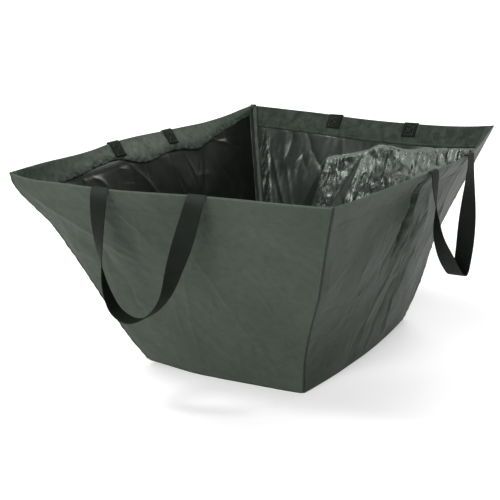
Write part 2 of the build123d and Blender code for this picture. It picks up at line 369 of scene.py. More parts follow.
def pleat_share(wall, ends, widths):
    """Distance along a pleat's line, and to its side, as shares of its length and of its width there."""
    a, b = FLAT[wall]
    (start_a, start_b), (end_a, end_b) = flat_line(wall, ends)
    step_a, step_b = end_a - start_a, end_b - start_b
    length = math.hypot(step_a, step_b)
    run = ((a - start_a) * step_a + (b - start_b) * step_b) / length ** 2
    side = ((a - start_a) * step_b - (b - start_b) * step_a) / length
    return run, side / MM / (widths[0] + (widths[1] - widths[0]) * np.clip(run, 0, 1))


def pleat(wall, ends, widths, heights):
    """Flat facet that widens along a line: it rises away from it, then sinks back over three widths."""
    run, side = pleat_share(wall, ends, widths)
    height = heights[0] + (heights[1] - heights[0]) * np.clip(run, 0, 1)
    fade = ease(run * 6 + 1) * ease((1 - run) * 4 + 1)
    return height * MM * np.clip(side, 0, 1) * ease((4 - side) / 3) * fade


# Creases that each wall is known by: points as (across, rise), then width and height in millimetres
CREASES = {
    "front": [([(0.27, 0.90), (0.29, 0.78)], 4, 1.8), ([(0.13, 0.70), (0.50, 0.25)], 4, 2.6),
              ([(0.50, 0.25), (0.80, 0.03)], 4, 2.4), ([(0.50, 0.66), (0.78, 0.33)], 4, 2.3),
              ([(0.02, 0.66), (-0.22, 0.08)], 5, 2.4), ([(0.58, 0.52), (0.98, 0.50)], 4, 1.8),
              ([(-0.75, 0.90), (-0.20, 0.84)], 8, -1.8), ([(-0.92, 0.93), (-0.35, 0.62)], 9, 3.4),
              ([(-0.60, 0.80), (-0.62, 0.30)], 7, -2.8), ([(-0.30, 0.90), (-0.05, 0.62)], 5, 2.2),
              ([(0.35, 0.93), (0.85, 0.72)], 9, -1.8), ([(-0.15, 0.35), (0.25, 0.12)], 5, 2.1)],
    "right": [([(-0.31, 0.985), (-0.27, 0.94), (-0.285, 0.91), (-0.245, 0.86), (-0.255, 0.81),
                (-0.275, 0.78), (-0.245, 0.73), (-0.26, 0.69), (-0.24, 0.64), (-0.255, 0.58)], 3.6, -20),
              ([(-0.34, 0.96), (-0.31, 0.86), (-0.31, 0.76)], 8, 5),
              ([(-0.23, 0.97), (-0.215, 0.88), (-0.22, 0.78), (-0.19, 0.66)], 7, 7),
              ([(-0.17, 0.80), (-0.165, 0.70), (-0.20, 0.58), (-0.23, 0.46)], 5, 6),
              ([(-0.155, 0.73), (-0.165, 0.66), (-0.19, 0.60), (-0.20, 0.54)], 3.6, -11),
              ([(-0.28, 0.70), (-0.36, 0.50)], 10, -5), ([(-0.05, 0.78), (-0.12, 0.50)], 9, 6),
              ([(-0.10, 0.56), (-0.02, 0.42), (0.10, 0.27)], 8, 5), ([(0.08, 0.32), (0.26, 0.02)], 9, 5),
              ([(0.02, 0.80), (-0.02, 0.45)], 9, -5), ([(0.00, 0.50), (0.16, 0.10)], 8, -4.5),
              ([(0.14, 0.68), (0.10, 0.20)], 10, 4), ([(-0.12, 0.60), (-0.30, 0.20)], 10, 4.5),
              ([(-0.22, 0.45), (-0.34, 0.05)], 10, -4), ([(-0.02, 0.48), (-0.10, 0.02)], 9, -4),
              ([(-0.29, 0.36), (-0.21, 0.09)], 8, 3.5), ([(-0.07, 0.88), (0.11, 0.66)], 9, 4),
              ([(-0.55, 0.80), (-0.70, 0.25)], 14, 2.5), ([(-0.89, 0.93), (-0.75, 0.68)], 10, 2),
              ([(-0.95, 0.46), (-0.60, 0.42)], 8, -2), ([(-0.60, 0.42), (-0.42, 0.48)], 8, 2),
              ([(0.30, 0.85), (0.55, 0.40)], 12, 3), ([(0.45, 0.90), (0.80, 0.50)], 12, -3)],
    "back": [([(0.50, 0.86), (0.30, 0.62)], 7, 2.6), ([(0.86, 0.80), (0.70, 0.45)], 8, -2.4),
             ([(0.62, 0.90), (0.72, 0.70)], 7, 2.4), ([(-0.20, 0.80), (-0.30, 0.55)], 7, 2.6),
             ([(-0.45, 0.82), (-0.40, 0.60)], 6, -2.6), ([(-0.62, 0.84), (-0.66, 0.66)], 7, 2.6)],
    "left": [([(0.80, 0.90), (0.30, 0.55)], 12, 3.0), ([(0.20, 0.90), (-0.10, 0.50)], 12, -3.0),
             ([(-0.50, 0.88), (-0.20, 0.30)], 10, 2.6), ([(-0.70, 0.90), (-0.80, 0.50)], 10, -2.6),
             ([(0.60, 0.85), (0.45, 0.40)], 10, -2.4)],
}
DEEP_FOLD = -8                # millimetres: creases deeper than this get painted shade along them
# Pleats: both ends as (across, rise), then widths and heights there in millimetres
PLEATS = {
    "back": [([(0.026, 0.79), (0.225, 0.50)], (2, 44), (-1, -12)),
             ([(0.327, 0.77), (0.517, 0.50)], (2, 34), (-1, -9))],
}
# The back wall sags into the bag below this line, so that there it looks up more: (across, rise)
SAG_LINE = [(-1, 0.93), (-0.70, 0.915), (-0.52, 0.884), (-0.32, 0.866), (-0.18, 0.876), (-0.09, 0.877),
            (-0.01, 0.846), (0.17, 0.803), (0.32, 0.768), (0.45, 0.68), (0.6, 0.6), (1, 0.55)]
SAG = 22 * MM
# Crinkles of the inner film, as spacing and height in millimetres: facets, then upright ripples
FILM_FACETS = ((24, 1.1), (12, 0.7), (7, 0.25))
FILM_RIPPLES = (20, 0.8)


def below_sag_line():
    """How far below the line each place of the grid lies, as a share of the wall's height."""
    return through(SAG_LINE, grid_across) - grid_rise


def sag_below_line():
    """Relief of the sag, which fades out towards the floor, the right and both corners."""
    below = below_sag_line() / 0.38
    depth = np.where(below < 1, 1 - (1 - np.clip(below, 0, 1)) ** 1.4, ease((2.2 - below) / 1.2))
    return -SAG * depth * ease((0.75 - grid_across) / 0.6) * ease((1 - np.abs(grid_across)) / 0.25)


def inside_pleats(wall):
    """1 on the flat facet of each pleat, where the film lies smooth and dull, and 0 elsewhere."""
    share = np.zeros_like(grid_rise)
    for ends, widths, _ in PLEATS.get(wall, []):
        run, side = pleat_share(wall, ends, widths)
        share = np.maximum(share, ease(side * 8 + 0.5) * ease((1 - side) * 8 + 0.5) * ease(run * 20 + 1))
    return share


def crinkle_share(wall):
    """How crinkled each place of a wall's inner film is, from 0 to 1."""
    rng = np.random.default_rng(SEEDS["crinkle"])
    share = 0.10 + 0.25 * ease(0.5 + swells(*FLAT[wall], rng, 0.16, 0.5))
    if wall == "back":
        # Most below the sag line, except towards the right, and in a strip beside the right corner
        creased = ease(below_sag_line() / 0.02) * ease((0.48 - grid_across) / 0.2)
        share = np.maximum(share * 0.7, creased * (1 - inside_pleats(wall)))
        share = np.maximum(share, 0.8 * ease((grid_across - 0.84) / 0.04) * ease((0.93 - grid_rise) / 0.1))
    if wall == "left":
        share = share * 0.6
    return share * ease((HEM_EDGE_RISE - grid_rise) / 0.01)


def painted_fold_shade(wall):
    """Darkening of a wall's outer face, from 0 to 1: painted shade along its deepest folds, over an even
    darkening that the wall is given.
    """
    a, b = FLAT[wall]
    outer_shading = np.full_like(a, WALLS[wall]["soil"])
    a = a + swells(a, b, np.random.default_rng(SEEDS["outer_shading"]), 0.02, 2 * MM)
    # Painted shade along the deepest folds, where shadow falls in them
    for points, width, height in CREASES[wall]:
        if height < DEEP_FOLD:
            fold = crease(a, b, flat_line(wall, points), 3.4 * width * MM, 1.0)
            outer_shading = np.maximum(outer_shading, ease(2.2 * fold))
    return outer_shading


# Marks on each wall's faces, which the materials read: painted shade and darkening outside, dull and
# crinkle inside
MARKS = {wall: dict(soil=painted_fold_shade(wall), dull=inside_pleats(wall), crinkle=crinkle_share(wall))
         for wall in WALLS}


def small_creases(wall, a, b, rng):
    """Short creases at random places, most of them leaning the same way."""
    field = np.zeros_like(a)
    for _ in range(SMALL_CREASES):
        at = np.array(flat_place(wall, rng.uniform(-0.95, 0.95), rng.uniform(0.05, 0.95)))
        angle = rng.normal(*WALLS[wall]["leaning"])
        reach = np.array([math.cos(angle), math.sin(angle)]) * rng.uniform(15, 75) * MM
        height = rng.choice((-1, 1)) * rng.uniform(0.5, 1.5) * MM
        if wall != "right":
            rng.choice((-1, 1))       # not used, but the draws after it depend on it
        field += crease(a, b, [at - reach, at + reach], rng.uniform(3, 6) * MM, height)
    return field


def film_relief(wall, a, b, rng):
    """Crinkles of the inner film, always inside the outer face."""
    film = sum(facets(a, b * 0.6, rng, spacing * MM, height * MM) for spacing, height in FILM_FACETS)
    film += swells(a, b * 0.2, rng, FILM_RIPPLES[0] * MM, FILM_RIPPLES[1] * MM)
    return (film - film.max()) * MARKS[wall]["crinkle"]


def relief(wall, seed):
    """Outward relief of a wall's outer and inner face in metres, on the grid."""
    rng = np.random.default_rng(seed)
    a, b = FLAT[wall]
    bent_a = a + swells(a, b, rng, 0.10, 3 * MM) + swells(a, b, rng, 0.03, 0.8 * MM)
    bent_b = b + swells(a, b, rng, 0.10, 3 * MM) + swells(a, b, rng, 0.03, 0.8 * MM)
    field = swells(a, b, rng, 0.30, 2.4 * MM)
    for spacing, height, times in WALL_FACETS:
        height *= WALLS[wall]["crumpled"] * MM
        field += soften(facets(bent_a, bent_b, rng, spacing * MM, height), times)
    for points, width, height in CREASES[wall]:
        field += crease(bent_a, bent_b, flat_line(wall, points), width * MM, height * MM)
    for fold in PLEATS.get(wall, []):
        field += pleat(wall, *fold)
    field += small_creases(wall, bent_a, bent_b, rng)
    if wall == "back":
        field += sag_below_line()
    to_seam = wall_half(wall, grid_rise) - np.abs(a)
    to_rim = slant(wall) - b
    fade = ease(to_seam / SEAM_FADE) * ease(to_rim / RIM_FADE) * (0.15 + 0.85 * ease(b / FLOOR_FADE))
    return field * fade, (field + film_relief(wall, bent_a, bent_b, rng)) * fade


RELIEF = {wall: relief(wall, SEEDS["relief"] + 10 * index) for index, wall in enumerate(WALLS)}


def between(low_left, low_right, high_left, high_right, s, t):
    """Value at shares s across and t up between the values at four corners."""
    return (low_left * (1 - s) + low_right * s) * (1 - t) + (high_left * (1 - s) + high_right * s) * t


def read_map(field, across, rise):
    """Value of a wall's map between its grid points."""
    x = np.clip((across + 1) / 2, 0, 1) * (CREASE_COLS - 1)
    y = np.clip(rise, 0, 1) * (CREASE_ROWS - 1)
    i = np.minimum(y.astype(int), CREASE_ROWS - 2)
    j = np.minimum(x.astype(int), CREASE_COLS - 2)
    corners = field[i, j], field[i, j + 1], field[i + 1, j], field[i + 1, j + 1]
    return between(*corners, x - j, y - i)


def wall_ways(wall, rise):
    """Unit vectors squarely out of a wall and up along it."""
    step = 0.002
    rise = np.asarray(rise, float)
    middle = np.zeros_like(rise)
    run = unit(plain_wall(wall, middle, rise + step) - plain_wall(wall, middle, rise - step))
    face = facing(wall)
    out = (run @ face)[..., None]
    up = run[..., 2:]
    vertical = np.array([0, 0, 1.0])
    return face * up - vertical * out, face * out + vertical * up


def wall_point(wall, across, rise, depth=0.0, inner=0):
    """Point on the creased wall. depth is how far it lies inside the outer face, squarely to it."""
    across, rise = np.broadcast_arrays(np.asarray(across, float), np.asarray(rise, float))
    square, _ = wall_ways(wall, rise)
    to_seam = (1 - np.abs(across)) * wall_half(wall, rise)
    dip = SEAM_DIP * np.exp(-(to_seam / SEAM_REACH) ** 2)
    push = read_map(RELIEF[wall][inner], across, rise) - depth - dip
    # An inner layer is shorter too, so that neighbours meet on the corner's diagonal
    shrink = 1 - np.maximum(depth, 0) / wall_half(wall, rise)
    return plain_wall(wall, across * shrink, rise) + square * push[..., None]


# ---------------------------------------------------------------- meshes
def make_object(name, verts, faces, materials, uvs=None, face_materials=None, marks=None):
    mesh = bpy.data.meshes.new(name)
    mesh.from_pydata(np.asarray(verts).reshape(-1, 3).tolist(), [], faces)
    if uvs is not None:
        corners = np.zeros(len(mesh.loops), int)
        mesh.loops.foreach_get("vertex_index", corners)
        layer = mesh.uv_layers.new(name="flat")
        layer.data.foreach_set("uv", np.asarray(uvs, np.float32).reshape(-1, 2)[corners].ravel())
    for mark, values in (marks or {}).items():
        layer = mesh.attributes.new(mark, "FLOAT", "POINT")
        layer.data.foreach_set("value", np.asarray(values, np.float32).ravel())
    for material in materials:
        mesh.materials.append(material)
    if face_materials is not None:
        mesh.polygons.foreach_set("material_index", face_materials)
    mesh.polygons.foreach_set("use_smooth", [True] * len(mesh.polygons))
    mesh.update()
    return add_object(name, mesh)


def grid_faces(rows, cols, start=0, flip=False):
    faces = []
    for i in range(rows - 1):
        for j in range(cols - 1):
            a = start + i * cols + j
            quad = (a, a + 1, a + cols + 1, a + cols)
            faces.append(quad[::-1] if flip else quad)
    return faces


def make_sheet(name, outer, inner, uv, materials, **marks):
    """Thin closed sheet between two grids of points. Its outer face takes the first material.

    The other face and the edge take the last. The marks are one value for each point of the grid.
    """
    rows, cols = outer.shape[:2]
    count = rows * cols
    faces = grid_faces(rows, cols) + grid_faces(rows, cols, start=count, flip=True)
    border = ([(0, j) for j in range(cols)] + [(i, cols - 1) for i in range(1, rows)]
              + [(rows - 1, j) for j in range(cols - 2, -1, -1)] + [(i, 0) for i in range(rows - 2, 0, -1)])
    ring = [i * cols + j for i, j in border]
    faces += [(b, a, a + count, b + count) for a, b in zip(ring, ring[1:] + ring[:1])]
    slots = [0 if max(face) < count else len(materials) - 1 for face in faces]
    both = {mark: np.stack([values, values]) for mark, values in marks.items()}
    return make_object(name, np.stack([outer, inner]), faces, materials, np.stack([uv, uv]), slots, both)


def turned_over(*grids):
    """The grids with their columns reversed, which turns a sheet's outer face to the other side."""
    return [grid[:, ::-1] for grid in grids]


def tube_faces(steps, around, first=0):
    """Faces of a closed tube through rings of points, both its ends included."""
    faces = []
    for ring in range(first, first + (steps - 1) * around, around):
        for k in range(around):
            a, b = ring + k, ring + (k + 1) % around
            faces.append((a, b, b + around, a + around))
    start = tuple(range(first, first + around))
    return faces + [start[::-1], tuple(k + (steps - 1) * around for k in start)]


def bag_piece(obj, slot, *nodes):
    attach(obj, "bag")
    if nodes:
        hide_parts(*nodes)


# ---------------------------------------------------------------- materials
WEAVE = 2.4 * MM              # pitch of the fabric's tapes


class Shader:
    """A material's nodes, with short names for what repeats."""

    def __init__(self, name, roughness, specular, sheen=0.0):
        self.material = bpy.data.materials.new(name)
        self.material.use_nodes = True
        self.tree = self.material.node_tree
        self.set("Roughness", roughness)
        self.set("Specular IOR Level", specular)
        self.set("Specular Tint", (0.90, 1.0, 0.91, 1))
        self.set("Sheen Weight", sheen)
        self.set("Sheen Roughness", 0.45)

    def feed(self, socket, value):
        if isinstance(value, bpy.types.NodeSocket):
            self.tree.links.new(value, socket)
        else:
            socket.default_value = value

    def set(self, name, value):
        """Gives the surface's named input a value, or another node's output."""
        self.feed(self.tree.nodes["Principled BSDF"].inputs[name], value)

    def add(self, kind, inputs, output=0, **settings):
        """New node with its settings and its inputs. Gives back one of its outputs."""
        node = self.tree.nodes.new("ShaderNode" + kind)
        for setting, value in settings.items():
            setattr(node, setting, value)
        for name, value in inputs.items():
            self.feed(node.inputs[name], value)
        return node.outputs[output]

    def math(self, operation, *values):
        return self.add("Math", dict(enumerate(values)), operation=operation)

    def times(self, first, second):
        return self.math("MULTIPLY", first, second)

    def noise(self, vector, scale, detail=3.0, roughness=0.55, distortion=0.0, kind="FBM"):
        inputs = {"Vector": vector, "Scale": scale, "Detail": detail, "Roughness": roughness}
        return self.add("TexNoise", inputs | {"Distortion": distortion}, "Fac", noise_type=kind)

    def ridges(self, vector, scale, detail, roughness=0.5, distortion=1.0):
        return self.noise(vector, scale, detail, roughness, distortion, "RIDGED_MULTIFRACTAL")

    def ramp(self, factor, *stops):
        """Colour between stops, each a position and its colour."""
        node = self.tree.nodes.new("ShaderNodeValToRGB")
        self.feed(node.inputs["Fac"], factor)
        elements = node.color_ramp.elements
        while len(elements) < len(stops):
            elements.new(0.5)
        for element, (position, colour) in zip(elements, stops):
            element.position = position
            element.color = (*colour, 1)
        return node.outputs["Color"]

    def mix(self, factor, first, second, blend="MIX"):
        return self.add("Mix", {0: factor, 6: first, 7: second}, 2, data_type="RGBA", blend_type=blend)

    def bump(self, height, strength, distance, under=None):
        """Normal of a relief, on top of the relief whose normal is given."""
        inputs = {"Height": height, "Strength": strength, "Distance": distance}
        if under is not None:
            inputs["Normal"] = under
        return self.add("Bump", inputs)

    def flat(self):
        """The fabric's flat coordinates in metres: the vector, then x and y."""
        vector = self.add("UVMap", {}, uv_map="flat")
        return vector, self.add("SeparateXYZ", {0: vector}, 0), self.add("SeparateXYZ", {0: vector}, 1)

    def mark(self, name):
        """Value that the mesh's points carry: painted light and wear, painted shade and darkening, dull or
        crinkle.
        """
        return self.add("Attribute", {}, "Fac", attribute_name=name)

    def weave(self, x, y, pitch_x, pitch_y):
        """Height of a plain weave of flat tapes, from 0 to 1."""
        across = self.math("DIVIDE", x, pitch_x)
        up = self.math("DIVIDE", y, pitch_y)
        cell = self.math("ADD", self.math("FLOOR", across), self.math("FLOOR", up))
        parity = self.math("MODULO", self.math("ABSOLUTE", cell), 2.0)
        over = self.times(parity, self.crown(across))
        under = self.times(self.math("SUBTRACT", 1.0, parity), self.crown(up))
        return self.math("ADD", over, under)

    def crown(self, place):
        return self.math("ABSOLUTE", self.math("SINE", self.times(place, math.pi)))


def outer_fabric():
    """Matt woven face: dark grey-green tapes, mottled, dusty on the crowns, with painted light along the
    rim and painted shade in deep folds.
    """
    s = Shader("woven_fabric_outer", 0.5, 0.10)
    vector, x, y = s.flat()
    weave = s.weave(x, y, WEAVE, WEAVE)
    clouds = s.noise(vector, 7.0, 5.0, 0.6)
    streaks = s.noise(vector, 60.0, 3.0, 0.6)
    base = s.ramp(clouds, (0.30, (0.028, 0.037, 0.028)), (0.52, (0.034, 0.043, 0.033)),
                  (0.74, (0.043, 0.052, 0.041)))
    fine = s.ramp(streaks, (0.3, (0.86,) * 3), (0.7, (1.10,) * 3))
    tone = s.mix(1.0, base, fine, "MULTIPLY")
    dusty = s.mix(s.times(weave, 0.12), tone, (0.062, 0.073, 0.060, 1))
    # Painted light: a lighter, streaked tone along the rim's fold and over a hem
    lit_and_worn = s.times(s.mark("wear"), s.times(streaks, 0.5))
    with_painted_light = s.mix(lit_and_worn, dusty, (0.115, 0.150, 0.117, 1))
    # Painted shade in deep folds and over a hem, and a wall's own darkening, all broken into blotches
    blotches = s.ramp(s.noise(vector, 38.0, 4.0, 0.65, 0.6), (0.40, (1,) * 3), (0.62, (0.25,) * 3))
    soiled = s.times(s.times(s.mark("soil"), blotches), 0.85)
    s.set("Base Color", s.mix(soiled, with_painted_light, (0.008, 0.010, 0.008, 1)))
    s.set("Roughness", s.math("ADD", 0.42, s.times(clouds, 0.2)))
    large = s.bump(s.ridges(vector, 11.0, 4.0, 0.5, 1.2), 1.0, 3.4 * MM)
    small = s.bump(s.ridges(vector, 30.0, 4.0), 0.9, 1.3 * MM, large)
    s.set("Normal", s.bump(weave, 0.35, 0.22 * MM, small))
    return s.material


def inner_film():
    """Black glossy film laminated to the weave, crinkled and scuffed grey where it has been folded."""
    s = Shader("laminated_film_inner", 0.25, 0.6)
    vector, x, y = s.flat()
    crinkle = s.mark("crinkle")
    clouds = s.noise(vector, 9.0, 5.0, 0.62)
    upright = s.add("CombineXYZ", {0: x, 1: s.times(y, 0.34)})      # noise on it runs up the wall
    coarse = s.ridges(upright, 60.0, 3.0)
    fine = s.ridges(upright, 150.0, 3.0, 0.55)
    black = s.ramp(clouds, (0.32, (0.007, 0.009, 0.007)), (0.55, (0.010, 0.0125, 0.010)),
                   (0.78, (0.016, 0.019, 0.015)))
    scuffed = s.times(crinkle, s.times(fine, 0.18))
    s.set("Base Color", s.mix(scuffed, black, (0.10, 0.11, 0.098, 1)))
    smooth = s.ramp(clouds, (0.3, (0.27,) * 3), (0.75, (0.36,) * 3))
    s.set("Roughness", s.math("SUBTRACT", smooth, s.times(crinkle, 0.05)))
    s.set("Specular IOR Level", s.math("SUBTRACT", 0.6, s.times(s.mark("dull"), 0.45)))
    creases = s.bump(fine, crinkle, 0.45 * MM, s.bump(coarse, crinkle, 1.7 * MM))
    s.set("Normal", s.bump(s.weave(x, y, WEAVE, WEAVE), 0.10, 0.2 * MM, creases))
    return s.material


def webbing():
    """Black webbing: ribs across the strap, with a painted highlight where it comes over the rim, and
    greyer with wear near the loop's bottom.
    """
    s = Shader("black_webbing", 0.7, 0.09)
    vector, x, y = s.flat()
    ribs = s.weave(x, y, 2.0 * MM, 1.5 * MM)
    fuzz = s.noise(vector, 900.0, 2.0)
    rub = s.noise(vector, 35.0, 4.0, 0.6)
    base = s.ramp(rub, (0.35, (0.0035, 0.0045, 0.0035)), (0.6, (0.005, 0.0065, 0.005)),
                  (0.85, (0.010, 0.012, 0.010)))
    crown = s.mix(s.times(ribs, 0.3), base, (0.014, 0.016, 0.014, 1))
    # Lighter grey: a painted highlight over the rim, and wear near the loop's bottom
    s.set("Base Color", s.mix(s.times(s.mark("wear"), 0.35), crown, (0.050, 0.056, 0.049, 1)))
    s.set("Normal", s.bump(ribs, 0.7, 0.45 * MM, s.bump(fuzz, 0.15, 0.3 * MM)))
    return s.material


def tape():
    """Black binding tape, a fine plain weave."""
    s = Shader("binding_tape", 0.5, 0.4, 0.1)
    vector, x, y = s.flat()
    weave = s.weave(x, y, 0.9 * MM, 0.9 * MM)
    rub = s.noise(vector, 40.0, 4.0, 0.6)
    s.set("Base Color", s.ramp(rub, (0.3, (0.010, 0.013, 0.010)), (0.7, (0.024, 0.029, 0.023))))
    creases = s.bump(s.ridges(vector, 90.0, 3.0), 0.5, 0.8 * MM)
    s.set("Normal", s.bump(weave, 0.4, 0.25 * MM, creases))
    return s.material


def mottled(s, scale, detail, dark, light, strength, distance):
    """Finishes a look with one noise, as both its colour and its relief."""
    noise = s.noise(s.add("TexCoord", {}, "Object"), scale, detail)
    s.set("Base Color", s.ramp(noise, (0.3, dark), (0.7, light)))
    s.set("Normal", s.bump(noise, strength, distance))
    return s.material


def piping():
    """Black folded edge, slightly uneven."""
    s = Shader("seam_edge", 0.7, 0.3)
    return mottled(s, 300.0, 4.0, (0.004, 0.005, 0.004), (0.010, 0.012, 0.010), 0.6, 0.6 * MM)


def thread():
    """Dark green sewing thread, twisted."""
    s = Shader("sewing_thread", 0.5, 0.4, 0.2)
    return mottled(s, 1400.0, 2.0, (0.022, 0.030, 0.022), (0.050, 0.062, 0.048), 0.5, 0.2 * MM)


OUTER = outer_fabric()
INNER = inner_film()
WEBBING = webbing()
TAPE_CLOTH = tape()
SEAM_EDGE = piping()
THREAD_LOOK = thread()


# ---------------------------------------------------------------- walls, hems and base
def across_places(wall):
    """Even places along a wall, closer together beside its corners."""
    half = wall_half(wall, 1)
    places = np.linspace(-1, 1, int(2 * half / PANEL_STEP))
    extra = 1 - np.array([1.0, 2.2, 3.6, 6.0]) * MM / half
    return np.unique(np.concatenate([places, extra, -extra]))


def rim_fold(wall, acrosses, degrees, thick):
    """Rows of points round the rim's fold: 0 degrees is the outer face, 90 the top, 180 the inner face."""
    ones = np.ones_like(acrosses)
    square, upward = wall_ways(wall, ones)
    middle = wall_point(wall, acrosses, ones) - square * FOLD_RADIUS
    rows = []
    for angle in np.radians(degrees):
        rows.append(middle + (FOLD_RADIUS - thick) * (square * math.cos(angle) + upward * math.sin(angle)))
    return np.stack(rows)


def fold_uv(wall, acrosses, degrees):
    """The fold's rows on the wall's flat cut, which runs on from the outer face."""
    b = slant(wall) + np.radians(degrees) * FOLD_RADIUS
    return np.stack(np.meshgrid(acrosses * wall_half(wall, 1), b), axis=-1)


def panel(wall):
    """A wall from its bottom edge up to the top of the rim's fold."""
    degrees = (22, 45, 68, 90)
    acrosses = across_places(wall)
    across, rise = np.meshgrid(acrosses, np.linspace(0, 1, int(slant(wall) / PANEL_STEP)))
    layers = [np.concatenate([wall_point(wall, across, rise, thick, inner),
                              rim_fold(wall, acrosses, degrees, thick)])
              for inner, thick in ((0, 0.0), (1, FABRIC))]
    body_uv = np.stack(flat_place(wall, across, rise), axis=-1)
    uv = np.concatenate([body_uv, fold_uv(wall, acrosses, degrees)])
    # Painted highlight along the rim's fold
    wear = ease((uv[..., 1] - slant(wall) + 3 * MM) / (4 * MM))
    unmarked = np.zeros((len(degrees), len(acrosses)))
    marks = {mark: np.concatenate([read_map(field, across, rise), unmarked])
             for mark, field in MARKS[wall].items()}
    obj = make_sheet(f"{wall}_panel_fabric", *layers, uv, (OUTER, INNER), wear=wear, **marks)
    bag_piece(obj, "coated_fabric", f"{wall}_panel")


def hem_depth(rise):
    """Depth of the hem's inner face: full at the fold, pressed flat where it is sewn down."""
    return HEM_SEWN + (HEM_FACE - HEM_SEWN) * ease((rise - HEM_STITCH_RISE) * HEIGHT / HEM_SWELL)


def hem_edge(wall, across):
    """Rise of the hem's raw edge."""
    return HEM_EDGE_RISE + through(HEM_WANDER.get(wall, [(-1, 0), (1, 0)]), across) * MM / HEIGHT


def hem_lift(wall, across, rise):
    """How far the hem's inner layer puckers off the wall."""
    a, b = flat_place(wall, across, rise)
    turn = WALLS[wall]["turn"]
    rng = np.random.default_rng(SEEDS["pucker"] + turn)
    pucker = swells(a, b * 0.4, rng, 42 * MM, 0.5 * MM) * ease(0.6 + swells(a, b, rng, 0.16, 0.5))
    edge = hem_edge(wall, across)
    loose = WALLS[wall]["loose_hem"] * ease((edge + 0.05 - rise) / 0.05)
    crumpled = swells(a, b, np.random.default_rng(SEEDS["loose"] + turn), 17 * MM, 0.7 * MM)
    lift = np.maximum(pucker + 0.5 * MM, 0) + loose * np.abs(crumpled)
    return lift * ease((1 - rise) * HEIGHT / (8 * MM))


def hem(wall):
    """The inner half of the rim's fold, and the hem down to its raw edge."""
    degrees = (90, 112, 135, 158, 180)
    acrosses = across_places(wall)
    acrosses = acrosses[np.abs(acrosses) < 1 - 2.5 * MM / wall_half(wall, 1)]
    across, share = np.meshgrid(acrosses, np.linspace(0, 1, HEM_ROWS + 1)[1:])
    rise = 1 - share * (1 - hem_edge(wall, across))
    lift = (np.array([0, 0, 0.35]) - facing(wall)) * hem_lift(wall, across, rise)[..., None]
    layers = [np.concatenate([rim_fold(wall, acrosses, degrees, thick),
                              wall_point(wall, across, rise, hem_depth(rise) - thick, 1) + lift])
              for thick in (0.0, FABRIC)]
    a, b = flat_place(wall, across, rise)
    down = 2 * slant(wall) + math.pi * FOLD_RADIUS - b
    uv = np.concatenate([fold_uv(wall, acrosses, degrees), np.stack([a, down], axis=-1)])
    # Painted highlight along the rim's fold, and painted light over the whole hem on a wall that is given
    # it
    wear = ease((slant(wall) + 8 * MM - uv[..., 1]) / (5 * MM))
    wear = np.maximum(wear, WALLS[wall]["hem_wear"])
    # Painted shade: a strip above the raw edge, and over the whole hem on a wall that is given it
    above_edge = (rise - hem_edge(wall, across)) * HEIGHT
    unsoiled = np.zeros((len(degrees), len(acrosses)))
    soil = np.concatenate([unsoiled, ease(1 - above_edge / HEM_SHADE_STRIP)])
    soil = np.maximum(soil, WALLS[wall]["hem_soil"])
    # The film shows along the raw edge: duller where the fabric has painted light, crinkled where it has
    # painted shade
    obj = make_sheet(f"{wall}_hem_fabric", *layers, uv, (OUTER, INNER), wear=wear, soil=soil,
                     dull=wear, crinkle=soil)
    bag_piece(obj, "coated_fabric", f"{wall}_rim_hem")


def foot(wall, acrosses):
    """Line of points where the base meets a wall, just inside it."""
    return wall_point(wall, acrosses, np.zeros_like(acrosses), 1.2 * MM) + np.array([0, 0, 0.8 * MM])


def base():
    """Bottom panel stretched between the feet of the walls, faintly crumpled."""
    s, t = np.meshgrid(np.linspace(0, 1, 90), np.linspace(0, 1, 130))
    low = foot("front", 2 * s - 1)
    high = foot("back", 1 - 2 * s)
    left = foot("left", 1 - 2 * t)
    right = foot("right", 2 * t - 1)
    s, t = s[..., None], t[..., None]
    corners = between(low[0, 0], low[0, -1], high[0, 0], high[0, -1], s, t)
    sheet = low * (1 - t) + high * t + left * (1 - s) + right * s - corners
    x, y = sheet[..., 0], sheet[..., 1]
    rng = np.random.default_rng(SEEDS["base"])
    crumple = swells(x, y, rng, 0.11, 0.7 * MM) + soften(facets(x, y, rng, 45 * MM, 1.2 * MM), 2)
    inside = ease(np.minimum(s, 1 - s)[..., 0] * 9) * ease(np.minimum(t, 1 - t)[..., 0] * 12)
    top = sheet.copy()
    top[..., 2] += inside * (0.9 * MM + crumple)
    top[..., 2] = np.maximum(top[..., 2], FABRIC + 0.2 * MM)
    under = top - np.array([0, 0, FABRIC])
    flat = np.stack([x, y], axis=-1)
    obj = make_sheet("base_fabric", *turned_over(under, top, flat), (OUTER, INNER),
                     crinkle=np.full(x.shape, 0.3))
    bag_piece(obj, "coated_fabric", "base_panel")


# ---------------------------------------------------------------- tapes and seams
def layer_depth(rise):
    """Depth that the bindings lie on: the wall's inner face, and the hem's thickness above its edge."""
    return FABRIC + hem_depth(rise) * ease((rise - HEM_EDGE_RISE + 0.02) / 0.02)


def binding_depth(reach, rise):
    """Depth of the binding's back at a distance from the corner: puffed over the seam allowances."""
    puff = BINDING_PUFF * ease((reach - 0.5 * MM) / (3.5 * MM)) * ease((BINDING_WIDTH - reach) / (6 * MM))
    lumps = 1 + 0.25 * np.sin(rise * 61) * np.sin(rise * 23 + 1)
    return layer_depth(rise) + 0.5 * MM + puff * lumps


def tape_piece(name, node, layers, across, up):
    """Tape between two grids of points, with its places across and along it in metres."""
    uv = np.stack(np.meshgrid(across, up), axis=-1)
    bag_piece(make_sheet(name, *turned_over(*layers, uv), (TAPE_CLOTH,)), "binding_tape", node)


